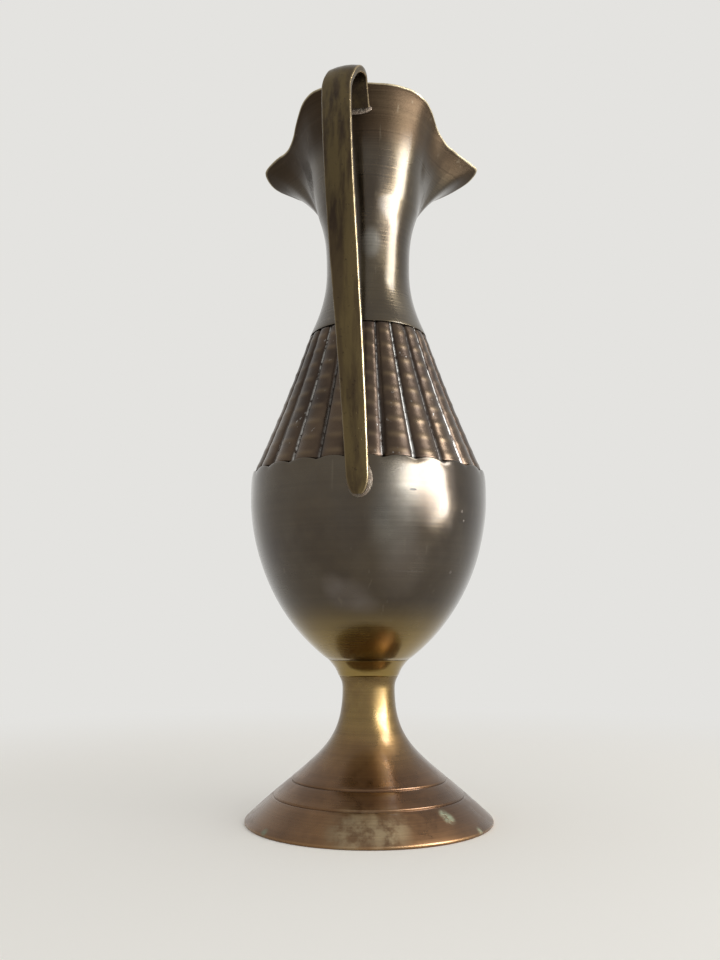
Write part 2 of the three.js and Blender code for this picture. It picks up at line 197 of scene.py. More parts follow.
def shadeBy(tree, color, shade):
    # darkens or lightens a colour by a grey value
    grey = addNode(tree, "CombineColor", None, {0: shade, 1: shade, 2: shade}).outputs[0]
    return blendColor(tree, 1.0, color, grey, "MULTIPLY")


def grain(tree, coords, scale, detail=4.0, roughness=0.55, stretch=(1, 1, 1), turn=(0, 0, 0)):
    # cloudy noise; scale is in cells per metre
    mapping = addNode(tree, "Mapping", None, {"Vector": coords, "Scale": stretch, "Rotation": turn})
    inputs = {"Vector": mapping.outputs[0], "Scale": scale, "Detail": detail, "Roughness": roughness}
    return addNode(tree, "TexNoise", None, inputs).outputs[0]


def heightOf(tree, coords):
    return addNode(tree, "SeparateXYZ", None, {0: coords}).outputs[2]


def turningLines(tree, coords, perMetre, detail=3.0):
    # fine rings round the axis, as a lathe tool leaves them
    inputs = {"W": heightOf(tree, coords), "Scale": perMetre, "Detail": detail, "Roughness": 0.7}
    return addNode(tree, "TexNoise", {"noise_dimensions": "1D"}, inputs).outputs[0]


def scratches(tree, coords, turn, stretch, scale, rarity):
    # thin straight marks in one direction
    marks = grain(tree, coords, scale, 2.0, 0.5, stretch, turn)
    return keepWithin(tree, marks, rarity, rarity + 0.03)


def spot(tree, coords, place, size, soft, stretch=(1, 1, 1)):
    # 1 within size of a place (metres), fading over soft; stretch above 1 makes it narrower
    away = addNode(tree, "VectorMath", {"operation": "SUBTRACT"}, {0: coords, 1: place}).outputs[0]
    scaled = addNode(tree, "VectorMath", {"operation": "MULTIPLY"}, {0: away, 1: stretch}).outputs[0]
    distance = addNode(tree, "VectorMath", {"operation": "LENGTH"}, {0: scaled}).outputs["Value"]
    return keepWithin(tree, distance, size, size + soft, 1.0, 0.0)


def largest(tree, parts):
    total = parts[0]
    for part in parts[1:]:
        total = calc(tree, "MAXIMUM", total, part)
    return total


def srgb(red, green, blue):
    # a colour as a screen shows it, 0..255, for a shader socket
    linear = [(part / 255 / 12.92) if part < 10.3 else ((part / 255 + 0.055) / 1.055) ** 2.4
              for part in (red, green, blue)]
    return (*linear, 1.0)


def newFinish(name):
    material = bpy.data.materials.new(name)
    material.use_nodes = True
    tree = material.node_tree
    coords = addNode(tree, "TexCoord").outputs["Object"]
    return material, tree, coords, tree.nodes["Principled BSDF"]


def applyFinish(tree, shader, color, roughness, heights, metallic=1.0, coat=0.0, coatRoughness=0.15):
    # heights: (socket, depth in metres) pairs that raise or sink the surface a little
    tree.links.new(color, shader.inputs["Base Color"])
    tree.links.new(roughness, shader.inputs["Roughness"])
    shader.inputs["Metallic"].default_value = metallic
    shader.inputs["Coat Weight"].default_value = coat
    shader.inputs["Coat Roughness"].default_value = coatRoughness
    total = None
    for socket, depth in heights:
        part = calc(tree, "MULTIPLY", socket, depth)
        total = part if total is None else calc(tree, "ADD", total, part)
    bump = addNode(tree, "Bump", None, {"Strength": 1.0, "Distance": 1.0, "Height": total})
    tree.links.new(bump.outputs[0], shader.inputs["Normal"])


# foot: a spun trumpet with two turned steps
footShape = {
    "radius": 39.3, "lipHeight": 0.9, "height": footHeight, "wall": 2.1,
    "waistRadius": 8.5, "waistHeight": 40.9, "waistPull": 19.3,
    "coneReach": 21.4, "coneRise": 19.5,
    "stepRadii": (30.6, 24.9), "stepHeight": 0.6, "stepRound": 0.16,
    "topFlare": 1.1, "boreRadius": boreRadius, "boreBottom": 33.9, "hollowTop": 26.9,
    "lipRound": 0.3, "topRound": 0.2, "steps": 160,
}

footLook = {
    "brass": srgb(116, 86, 57), "deep": srgb(87, 62, 41), "gold": srgb(128, 108, 64),
    "dull": srgb(134, 120, 94), "green": srgb(122, 130, 110), "edge": srgb(150, 116, 78),
    "linesPerMetre": 2600, "coat": 0.35,
    # place, size and softness of the dull patches and of the green spots
    "patches": (((-0.002, -0.0355, 0.0042), 0.0030, 0.0075), ((0.0070, -0.0345, 0.0048), 0.0032, 0.0065)),
    "spots": (((0.0252, -0.0232, 0.0058), 0.0009, 0.0020), ((0.0238, -0.0228, 0.0068), 0.0006, 0.0018),
              ((0.0347, -0.0185, 0.0018), 0.0005, 0.0016), ((-0.0290, -0.0262, 0.0016), 0.0004, 0.0016)),
}


def footFinish():
    look = footLook
    material, tree, coords, shader = newFinish("footBrass")
    clouds = keepWithin(tree, grain(tree, coords, 28, 5), 0.36, 0.64)
    smudges = keepWithin(tree, grain(tree, coords, 90, 6, 0.65), 0.42, 0.62)
    lines = turningLines(tree, coords, look["linesPerMetre"])
    broad = turningLines(tree, coords, 520, 2.0)
    height = heightOf(tree, coords)
    color = blendColor(tree, clouds, look["brass"], look["deep"])
    stemGold = keepWithin(tree, height, 0.014, 0.036)
    color = blendColor(tree, times(tree, stemGold, 0.75), color, look["gold"])
    color = blendColor(tree, times(tree, smudges, 0.3), color, look["deep"])
    # the lowest edge of the foot is painted paler: a painted highlight along the rim
    rim = keepWithin(tree, height, 0.0006, 0.0012, 0.4, 0.0)
    color = blendColor(tree, rim, color, look["edge"])
    patch = largest(tree, [spot(tree, coords, *place) for place in look["patches"]])
    crumbs = keepWithin(tree, grain(tree, coords, 150, 6, 0.7), 0.38, 0.6, 0.2, 1.0)
    broken = times(tree, patch, crumbs)
    color = blendColor(tree, times(tree, broken, 0.7), color, look["dull"])
    green = largest(tree, [spot(tree, coords, *place) for place in look["spots"]])
    green = times(tree, green, keepWithin(tree, grain(tree, coords, 520, 4, 0.7), 0.34, 0.56, 0.15, 1.0))
    color = blendColor(tree, times(tree, green, 0.75), color, look["green"])
    shade = calc(tree, "ADD", keepWithin(tree, lines, 0.3, 0.7, -0.07, 0.05),
                 keepWithin(tree, broad, 0.3, 0.7, 0.94, 1.04))
    color = shadeBy(tree, color, shade)
    dullness = times(tree, calc(tree, "MAXIMUM", broken, green), 0.3)
    roughness = calc(tree, "ADD", keepWithin(tree, smudges, 0, 1, 0.26, 0.38), dullness)
    fine = grain(tree, coords, 1400, 3)
    applyFinish(tree, shader, color, roughness,
                [(lines, 0.000025), (broad, 0.00003), (fine, 0.00001), (green, 0.00008)], coat=look["coat"])
    return material


def makeFoot():
    s = footShape
    cone = bend((s["radius"], s["lipHeight"]), (s["radius"] - s["coneReach"], s["lipHeight"] + s["coneRise"]),
                (s["waistRadius"], s["waistHeight"] - s["waistPull"]),
                (s["waistRadius"], s["waistHeight"]), 44)
    half = s["stepHeight"] / 2
    stepped, corners = [], []
    for place, point in enumerate(cone):
        if not any(abs(point[0] - radius) < 0.6 for radius in s["stepRadii"]):
            stepped.append(point)
        after = cone[min(place + 1, len(cone) - 1)]
        for radius in s["stepRadii"]:
            if point[0] <= radius or after[0] > radius:
                continue
            height = point[1] + (point[0] - radius) / (point[0] - after[0]) * (after[1] - point[1])
            ledge = [(radius + half, height - half), (radius - half, height - half),
                     (radius - half, height + half)]
            stepped += ledge
            corners += [ledge[0], ledge[2]]
    topRadius = s["waistRadius"] + s["topFlare"]
    stem = bend((s["waistRadius"], s["waistHeight"]),
                (s["waistRadius"], (s["waistHeight"] + s["height"]) / 2),
                (topRadius - s["topFlare"] / 2, s["height"] - s["topFlare"]), (topRadius, s["height"]), 12)
    hollow = bend((0, s["hollowTop"]), (s["waistRadius"], s["hollowTop"]),
                  (s["radius"] - s["coneReach"] - s["wall"], s["lipHeight"] + s["coneRise"] - s["wall"]),
                  (s["radius"] - s["wall"], 0), 30)
    outline = hollow + [(s["radius"], 0)] + stepped + stem[1:]
    outline += [(s["boreRadius"], s["height"]), (s["boreRadius"], s["boreBottom"]), (0, s["boreBottom"])]
    bm = spinOutline(outline, s["steps"], closed=False)
    easeRings(bm, corners, s["stepRound"])
    easeRings(bm, [(s["radius"], 0), (s["radius"], s["lipHeight"])], s["lipRound"])
    easeRings(bm, [(topRadius, s["height"])], s["topRound"])
    return finishPiece(bm, "footTrumpet", footFinish(), "foot")


# collar and bowl
collarShape = {
    "bottom": footHeight, "top": footHeight + collarHeight, "bottomRadius": 9.6,
    "topRadius": collarRadius, "boreRadius": boreRadius, "ease": 0.25, "lowPull": 2.04, "highPull": 1.84,
    "topRound": 0.15, "steps": 128,
}

bowlShape = {
    "bottom": footHeight + collarHeight, "bottomRadius": collarRadius, "radius": bodyRadius,
    "widest": 102.2, "top": bowlTop, "lowerPull": (23.2, 16.8), "sidePull": 8.0, "ledge": 1.0,
    "wall": sheetWall, "floor": 4.0, "floorRadius": 5.4, "boreRadius": boreRadius, "steps": 240,
    "scallopDrop": 1.0, "scallopReach": 4.0, "unevenness": 0.1,
}


def bodyFinish(name, look):
    # polished brass that has gone grey-brown in clouds, with turning lines and wear, painted sheen in two
    # pale marks and painted shade towards the top of the mouth
    material, tree, coords, shader = newFinish(name)
    height = heightOf(tree, coords)
    clouds = keepWithin(tree, grain(tree, coords, look["cloudScale"], 5, 0.6), 0.36, 0.64)
    smudges = keepWithin(tree, grain(tree, coords, 60, 4, 0.5, (1, 1, 0.6)), 0.4, 0.68)
    color = blendColor(tree, clouds, look["brass"], look["deep"])
    color = blendColor(tree, times(tree, smudges, 0.4), color, look["grey"])
    gold = keepWithin(tree, height, look["goldFrom"], look["goldTo"], 1.0, 0.0)
    color = blendColor(tree, times(tree, gold, 0.8), color, look["gold"])
    clearOfDullShade = keepWithin(tree, height, look["dullShadeFrom"], look["dullShadeTo"], 1.0, 0.0)
    # towards the top of the mouth the colour is darkened: painted shade
    color = blendColor(tree, keepWithin(tree, clearOfDullShade, 0, 1, 0.75, 0.0), color, look["paintedShadeBrown"])
    marks = []
    crumbs = keepWithin(tree, grain(tree, coords, 160, 4, 0.5), 0.3, 0.7, 0.7, 1.0)
    for place, size, soft, stretch, tint, share in look["marks"]:
        mark = times(tree, spot(tree, coords, place, size, soft, stretch), crumbs, share)
        marks.append(mark)
        color = blendColor(tree, mark, color, tint)
    lines = turningLines(tree, coords, look["linesPerMetre"])
    broad = turningLines(tree, coords, look["linesPerMetre"] / 5, 2.0)
    patchy = keepWithin(tree, grain(tree, coords, 45, 4, 0.6), 0.35, 0.65, 0.35, 1.0)
    brushed = times(tree, keepWithin(tree, lines, 0.3, 0.7, -1.0, 1.0), patchy)
    shade = calc(tree, "ADD", times(tree, brushed, look["lineShade"]),
                 keepWithin(tree, broad, 0.3, 0.7, 0.96, 1.04))
    color = shadeBy(tree, color, shade)
    marksA = scratches(tree, coords, (0.3, 0.5, 0.2), (1, 1, 0.03), 500, 0.7)
    marksB = scratches(tree, coords, (1.2, -0.4, 0.6), (1, 1, 0.04), 420, 0.71)
    rubbed = calc(tree, "MAXIMUM", marksA, marksB)
    color = blendColor(tree, times(tree, rubbed, 0.12), color, look["scratch"])
    worn = addNode(tree, "Attribute", {"attribute_name": "lipWear"}).outputs["Fac"]
    pale = times(tree, worn, keepWithin(tree, grain(tree, coords, 300, 4, 0.6), 0.3, 0.6, 0.55, 1.0))
    color = blendColor(tree, pale, color, look["lip"])
    dullness = times(tree, largest(tree, marks), 0.2)
    roughness = calc(tree, "ADD", keepWithin(tree, smudges, 0, 1, look["smooth"], look["dull"]), dullness)
    roughness = calc(tree, "ADD", roughness, times(tree, brushed, 0.03))
    soft = grain(tree, coords, 60, 3)
    roughness = calc(tree, "ADD", roughness, keepWithin(tree, clearOfDullShade, 0, 1, look["tarnish"], 0.0))
    applyFinish(tree, shader, color, roughness,
                [(lines, look["lineDepth"]), (broad, look["lineDepth"] * 1.5), (soft, 0.0001),
                 (rubbed, -0.000003)], coatRoughness=look["coatRoughness"])
    bare = keepWithin(tree, largest(tree, marks), 0, 1, 1.0, 0.2)
    tree.links.new(times(tree, clearOfDullShade, bare, look["coat"]), shader.inputs["Coat Weight"])
    return material


def makeCollar():
    s = collarShape
    flare = s["topRadius"] - s["bottomRadius"]
    side = bend((s["bottomRadius"] + s["ease"], s["bottom"] + s["ease"]),
                (s["bottomRadius"] + flare / 4, s["bottom"] + s["lowPull"]),
                (s["topRadius"] - flare / 2, s["top"] - s["highPull"]), (s["topRadius"], s["top"]), 14)
    outline = [(s["boreRadius"], s["bottom"]), (s["bottomRadius"], s["bottom"])] + side
    outline.append((s["boreRadius"], s["top"]))
    bm = spinOutline(outline, s["steps"])
    easeRings(bm, [(s["topRadius"], s["top"])], s["topRound"])
    return finishPiece(bm, "stemRing", bowlBrass, "stem_collar")


def ribFall(angle):
    # how far a rib has fallen away: 0 on its crest, 1 in the valley
    turn = (math.degrees(angle) - ribPhase) / (360 / ribCount)
    across = 2 * (turn - math.floor(turn)) - 1
    return across * across


def makeBowl():
    s = bowlShape
    outside = bend((s["bottomRadius"], s["bottom"]),
                   (s["bottomRadius"] + s["lowerPull"][0], s["bottom"] + s["lowerPull"][1]),
                   (s["radius"], s["widest"] - s["sidePull"]), (s["radius"], s["widest"]), 44)
    roundOff = s["ledge"] / 2
    shoulder = bend((s["radius"], s["widest"]), (s["radius"], (s["widest"] + s["top"]) / 2),
                    (s["radius"], s["top"] - roundOff), (s["radius"] - roundOff, s["top"]), 18)
    rimInside = s["radius"] - s["ledge"] - ribDepth - s["wall"]
    inside = s["radius"] - s["wall"]
    hollow = bend((inside, s["widest"]), (inside, s["widest"] - s["sidePull"] + s["wall"]),
                  (s["bottomRadius"] + s["lowerPull"][0], s["bottom"] + s["lowerPull"][1] + s["wall"]),
                  (s["floorRadius"], s["bottom"] + s["floor"]), 20)
    outline = [(s["boreRadius"], s["bottom"])] + outside + shoulder[1:]
    outline += [(s["radius"] - s["ledge"], s["top"]), (rimInside, s["top"]),
                (rimInside, s["top"] - s["wall"])]
    outline += [(inside, s["top"] - 2.5 * s["wall"])] + hollow
    outline += [(s["boreRadius"], s["bottom"] + s["floor"])]
    bm = spinOutline(outline, s["steps"])
    shell = {}
    for radius, height in outside + shoulder[1:]:
        shell[round(height, 2)] = radius
    for corner in bm.verts:
        radius = math.hypot(corner.co.x, corner.co.y)
        outer = shell.get(round(corner.co.z, 2))
        onLedge = corner.co.z > s["top"] - 0.01 and abs(radius - s["radius"] + s["ledge"]) < 0.05
        if not onLedge and (outer is None or abs(radius - outer) > 0.05):
            continue
        # the upper edge dips at every valley of the ribs, and the sheet is a little uneven
        height = corner.co.z
        low = smoothStep(s["top"] - s["scallopReach"], s["top"], height)
        corner.co.z -= s["scallopDrop"] * ribFall(angleOf(corner.co)) * low
        push = s["unevenness"] * noise.noise(corner.co * 0.05)
        push *= smoothStep(s["bottom"], s["bottom"] + 12, height)
        corner.co.x += push * corner.co.x / radius
        corner.co.y += push * corner.co.y / radius
    return finishPiece(bm, "bowlShell", bowlBrass, "bowl")


# ribbed shoulder
shoulderShape = {
    "bottom": bowlTop, "height": shoulderHeight, "baseRadius": bodyRadius - bowlShape["ledge"],
    "topRadius": neckRadius, "hollow": 0.6, "wall": sheetWall, "topShare": 0.55,
    "columnsPerRib": 18, "rows": 96, "groove": 0.3, "grooveWidth": 0.16,
    "rippleLength": 5.33, "rippleCrest": 112.8, "ripple": 0.15, "ridgePower": 4,
    "endRound": 1.6, "endDrop": 0.35, "edgeSink": 0.9, "unevenness": 0.06,
}

shoulderLook = {
    "brass": srgb(80, 65, 51), "deep": srgb(54, 42, 33), "gold": srgb(114, 96, 72),
    "residue": srgb(182, 180, 176), "valley": srgb(44, 33, 27), "coat": 0.25,
}


def crestRadius(share):
    s = shoulderShape
    cone = s["baseRadius"] + (s["topRadius"] - s["baseRadius"]) * share
    return cone - s["hollow"] * math.sin(math.pi * share)


def shoulderFinish():
    look = shoulderLook
    material, tree, coords, shader = newFinish("shoulderBrass")
    fall = addNode(tree, "Attribute", {"attribute_name": "ribFall"}).outputs["Fac"]
    white = addNode(tree, "Attribute", {"attribute_name": "residue"}).outputs["Fac"]
    crest = addNode(tree, "Attribute", {"attribute_name": "rippleCrest"}).outputs["Fac"]
    clouds = keepWithin(tree, grain(tree, coords, 40, 5, 0.6), 0.36, 0.64)
    specks = keepWithin(tree, grain(tree, coords, 700, 3, 0.6), 0.66, 0.7)
    color = blendColor(tree, clouds, look["brass"], look["deep"])
    # the ripple crests are painted golden: partly wear on the raised crests, partly painted glints
    worn = times(tree, crest, keepWithin(tree, fall, 0.0, 0.6, 0.4, 0.0))
    color = blendColor(tree, worn, color, look["gold"])
    color = blendColor(tree, keepWithin(tree, fall, 0.45, 0.95, 0.0, 0.8), color, look["valley"])
    broken = times(tree, white, keepWithin(tree, grain(tree, coords, 520, 4, 0.7), 0.36, 0.54))
    color = blendColor(tree, broken, color, look["residue"])
    dust = times(tree, specks, keepWithin(tree, grain(tree, coords, 60, 3), 0.5, 0.62, 0.0, 0.5))
    color = blendColor(tree, dust, color, look["residue"])
    dullness = times(tree, calc(tree, "MAXIMUM", broken, dust), 0.3)
    roughness = calc(tree, "ADD", keepWithin(tree, clouds, 0, 1, 0.26, 0.38), dullness)
    lines = turningLines(tree, coords, 3000)
    fine = grain(tree, coords, 900, 4, 0.6)
    applyFinish(tree, shader, color, roughness, [(lines, 0.000012), (fine, 0.00002), (broken, 0.00006)],
                coat=look["coat"], coatRoughness=0.3)
    return material


def makeShoulder():
    s = shoulderShape
    rise = s["height"] / s["rows"]
    outside = [(crestRadius(row / s["rows"]), s["bottom"] + row * rise) for row in range(s["rows"] + 1)]
    inside = [(crestRadius(row / 8) - ribDepth - s["wall"], s["bottom"] + s["height"] * row / 8)
              for row in range(8, -1, -1)]
    bm = spinOutline(outside + inside, ribCount * s["columnsPerRib"])
    fallLayer = bm.verts.layers.float.new("ribFall")
    residueLayer = bm.verts.layers.float.new("residue")
    crestLayer = bm.verts.layers.float.new("rippleCrest")
    ribAngle, firstValley = fullTurn / ribCount, math.radians(ribPhase)
    top = s["bottom"] + s["height"]
    for corner in bm.verts:
        height = corner.co.z
        share = (height - s["bottom"]) / s["height"]
        radius = math.hypot(corner.co.x, corner.co.y)
        if radius < crestRadius(share) - 1.5:
            continue
        # columns crowd towards the valleys, so that these stay crisp
        turn = (angleOf(corner.co) - firstValley) / ribAngle
        rib = math.floor(turn + 1e-6)
        across = math.sin((2 * (turn - rib) - 1) * math.pi / 2)
        angle = (rib + (across + 1) / 2) * ribAngle + firstValley
        fall = across * across
        depth = ribDepth * (1 + (s["topShare"] - 1) * share)
        wave = math.cos(fullTurn * (height - s["rippleCrest"]) / s["rippleLength"])
        ridge = (0.5 + 0.5 * wave) ** s["ridgePower"]
        jitter = noise.noise(Vector((rib * 7.1, height * 0.35, 0)))
        ripple = s["ripple"] * (0.75 + 0.5 * jitter) * ridge * (1 - fall ** 2)
        ripple *= smoothStep(0, 1.2, height - s["bottom"]) * smoothStep(0, 2.0, top - height)
        groove = s["groove"] * math.exp(-((1 - abs(across)) / s["grooveWidth"]) ** 2)
        fromTop = min((top - height) / s["endRound"], 1)
        endRound = s["endDrop"] * (1 - math.sqrt(max(0, 1 - (1 - fromTop) ** 2))) * (1 - fall)
        wear = s["unevenness"] * noise.noise(polar(angle, radius, height) * 0.3)
        newRadius = crestRadius(share) - depth * fall + ripple - groove - endRound + wear
        # the lower edge follows the dips of the bowl's
        sink = s["edgeSink"] * fall if height < s["bottom"] + 0.01 else 0
        corner.co = polar(angle, newRadius, height - sink)
        corner[fallLayer] = fall
        corner[crestLayer] = ridge
        whiteShare = 0.95 if (rib + (across > 0)) % 2 else 0.25
        corner[residueLayer] = smoothStep(0.86, 0.99, abs(across)) * whiteShare
    return finishPiece(bm, "ribbedBand", shoulderFinish(), "ribbed_shoulder", 180)


# neck and mouth
neckShape = {
    "bottom": neckBottom, "baseRadius": neckRadius, "shoulderPull": 1.2, "waistRadius": 14.5,
    "waistHeight": 182.6,
    "waistPull": 13.1, "topHeight": 203.0, "topRadius": 17.0, "topFlare": 0.33, "pull": 6.9,
    "wall": 1.3, "lipPull": 12.0, "lipPullShare": 0.5, "columns": 240, "neckRows": (18, 12), "flareRows": 28,
    "lipRound": 0.4, "lipWobble": 0.12, "dents": 0.1,
}

# rim of the mouth round from the handle: angle, radius, height over the neck, steepness of the lip
rimStations = [
    (0, 23.0, 38.8, 44), (24, 24.0, 38.3, 44), (39, 25.0, 37.9, 42), (53, 25.7, 36.8, 40),
    (68, 25.2, 35.4, 38), (83, 25.4, 33.0, 36), (96, 28.5, 30.4, 34), (106, 34.0, 29.8, 28),
    (113, 41.2, 29.2, 24), (116.5, 45.0, 28.7, 22), (122, 44.8, 26.6, 22), (131, 41.2, 23.6, 26),
    (147, 37.4, 21.4, 32), (180, 49.8, 25.4, 26), (214, 39.0, 22.6, 32), (227, 42.2, 24.6, 26),
    (238, 45.8, 27.0, 22), (245, 45.6, 30.5, 22), (250, 39.2, 32.2, 24), (258, 32.0, 31.7, 28),
    (270, 27.9, 32.2, 34), (290, 26.1, 35.4, 38), (306, 26.2, 38.2, 40), (324, 25.5, 39.1, 42),
    (345, 23.4, 39.0, 44),
]


def lipAngle(angle):
    turn = math.degrees(angle) % 360
    closed = rimStations + [(360,) + rimStations[0][1:]]
    upper = max(1, next(place for place, station in enumerate(closed) if station[0] >= turn))
    start, end = closed[upper - 1], closed[upper]
    share = smoothStep(start[0], end[0], turn)
    return math.radians(start[3] + (end[3] - start[3]) * share)


def neckColumn(rimPoint):
    # the wall's outside from the foot of the neck to one point of the rim
    s = neckShape
    angle = angleOf(rimPoint)
    rimRadius = math.hypot(rimPoint.x, rimPoint.y)
    lip = lipAngle(angle)
    pull = min(s["lipPull"], s["lipPullShare"] * (rimRadius - s["topRadius"]) / math.cos(lip))
    lower = bend((s["baseRadius"], s["bottom"]), (s["baseRadius"], s["bottom"] + s["shoulderPull"]),
                 (s["waistRadius"], s["waistHeight"] - s["waistPull"]), (s["waistRadius"], s["waistHeight"]),
                 s["neckRows"][0])
    upper = bend((s["waistRadius"], s["waistHeight"]), (s["waistRadius"], s["waistHeight"] + s["pull"]),
                 (s["topRadius"] - s["topFlare"] * s["pull"], s["topHeight"] - s["pull"]),
                 (s["topRadius"], s["topHeight"]), s["neckRows"][1])
    flare = bend((s["topRadius"], s["topHeight"]),
                 (s["topRadius"] + s["topFlare"] * s["pull"], s["topHeight"] + s["pull"]),
                 (rimRadius - pull * math.cos(lip), rimPoint.z - pull * math.sin(lip)),
                 (rimRadius, rimPoint.z), s["flareRows"])
    return [polar(angle, radius, height) for radius, height in lower + upper[1:] + flare[1:]]


def makeNeck():
    s = neckShape
    stations = [polar(math.radians(angle), radius, s["topHeight"] + rise)
                for angle, radius, rise, steep in rimStations]
    columns = [neckColumn(splinePoint(stations, column / s["columns"], True))
               for column in range(s["columns"])]
    rows = len(columns[0])
    bm = spinOutline([(1, row) for row in range(rows)], s["columns"], closed=False)
    lipLayer = bm.verts.layers.float.new("lipWear")
    for corner in bm.verts:
        column = round(angleOf(corner.co) / fullTurn * s["columns"]) % s["columns"]
        row = round(corner.co.z)
        lipShare = smoothStep(rows - 6, rows - 1, row)
        point = columns[column][row].copy()
        outward = Vector((point.x, point.y, 0)).normalized()
        dent = s["dents"] * noise.noise(point * 0.06) * smoothStep(175, 205, point.z)
        wobble = s["lipWobble"] * noise.noise(Vector((point.x, point.y, 0)) * 0.25) * lipShare
        corner.co = point + outward * (dent + wobble) + Vector((0, 0, wobble))
        corner[lipLayer] = 1.0 if row == rows - 1 else 0.0
    bmesh.ops.recalc_face_normals(bm, faces=bm.faces[:])
    bmesh.ops.solidify(bm, geom=bm.faces[:], thickness=-s["wall"])
    bmesh.ops.recalc_face_normals(bm, faces=bm.faces[:])
    bm.normal_update()
    lipEdges = [edge for edge in bm.edges if len(edge.link_faces) == 2 and edge.calc_face_angle() > 1.0
                and edge.verts[0].co.z > s["topHeight"] + 8]
    bmesh.ops.bevel(bm, geom=lipEdges, offset=s["lipRound"], offset_type="OFFSET", segments=3,
                    profile=0.5, affect="EDGES", material=-1, clamp_overlap=True)
    return finishPiece(bm, "neckMouth", neckBrass, "neck_and_mouth", 50), columns[0]


# strap handle
handleShape = {
    "thickness": 2.8, "widths": (9.9, 8.8, 6.6), "midShare": 0.5, "edge": 0.6, "crown": 0.5,
    "reach": 48.2, "bowLength": 34.0, "seatDrop": 8.3, "footDrop": 12.1, "hookRadius": 7.8, "hookDrop": 10.9,
    "rimClearance": 1.6, "hookArc": (130, 15), "lean": 7.0, "sway": 0.7, "hookReturn": 4.2,
    "hookShares": (0.06, 0.17), "twist": (6, 4), "gap": 0.3, "rows": 200, "fileMarks": 0.07,
}

handleLook = {
    "brass": srgb(75, 62, 42), "deep": srgb(46, 35, 25), "gold": srgb(112, 97, 61),
    "edge": srgb(166, 147, 114), "sootAndShade": srgb(40, 31, 24), "coat": 0.15,
}


def handleFinish():
    look = handleLook
    material, tree, coords, shader = newFinish("handleBrass")
    edge = addNode(tree, "Attribute", {"attribute_name": "edgeWearAndHighlight"}).outputs["Fac"]
    inner = addNode(tree, "Attribute", {"attribute_name": "innerFace"}).outputs["Fac"]
    clouds = keepWithin(tree, grain(tree, coords, 60, 5, 0.6, (1, 1, 0.35)), 0.38, 0.62)
    streaks = keepWithin(tree, grain(tree, coords, 260, 5, 0.6, (1, 1, 0.12)), 0.4, 0.62)
    pits = keepWithin(tree, grain(tree, coords, 900, 3, 0.6), 0.62, 0.7)
    color = blendColor(tree, clouds, look["brass"], look["deep"])
    color = blendColor(tree, times(tree, streaks, 0.4), color, look["gold"])
    # the inner face, towards the jug, is darkened: painted shade
    color = blendColor(tree, times(tree, inner, 0.6), color, look["sootAndShade"])
    color = blendColor(tree, times(tree, pits, 0.5), color, look["sootAndShade"])
    # paler edges: edge wear all round, and on the right side a painted highlight as well
    wear = times(tree, edge, keepWithin(tree, grain(tree, coords, 220, 4, 0.6), 0.3, 0.6, 0.45, 1.0))
    color = blendColor(tree, wear, color, look["edge"])
    roughness = calc(tree, "SUBTRACT", keepWithin(tree, clouds, 0, 1, 0.3, 0.42), times(tree, wear, 0.1))
    fileMarks = grain(tree, coords, 700, 3, 0.5, (0.3, 1, 2.2))
    waves = grain(tree, coords, 110, 3, 0.5)
    applyFinish(tree, shader, color, roughness, [(fileMarks, 0.00003), (waves, 0.0001), (pits, -0.00003)],
                coat=look["coat"], coatRoughness=0.3)
    return material


def strapSection(width, thickness, edge, crown):
    # 32 points round the strap: flat inside, crowned outside, rounded edges
    half, deep = width / 2, thickness / 2
    edge = min(edge, half * 0.6)
    points = []
    for side, out, start in ((1, 1, 0), (-1, 1, 90), (-1, -1, 180), (1, -1, 270)):
        middle = deep - edge - (crown if out > 0 else 0)
        for step in range(5):
            turn = math.radians(start + step * 22.5)
            points.append((side * (half - edge) + edge * math.cos(turn),
                           out * middle + edge * math.sin(turn)))
        for along in (0.25, 0.5, 0.75):
            if start == 0:
                across = (half - edge) * (1 - 2 * along)
                points.append((across, deep - crown * (across / (half - edge)) ** 2))
            elif start == 90:
                points.append((-half, (deep - edge - crown) + (crown - 2 * deep + 2 * edge) * along))
            elif start == 180:
                points.append(((half - edge) * (2 * along - 1), -deep))
            else:
                points.append((half, (edge - deep) + (2 * deep - 2 * edge - crown) * along))
    return points


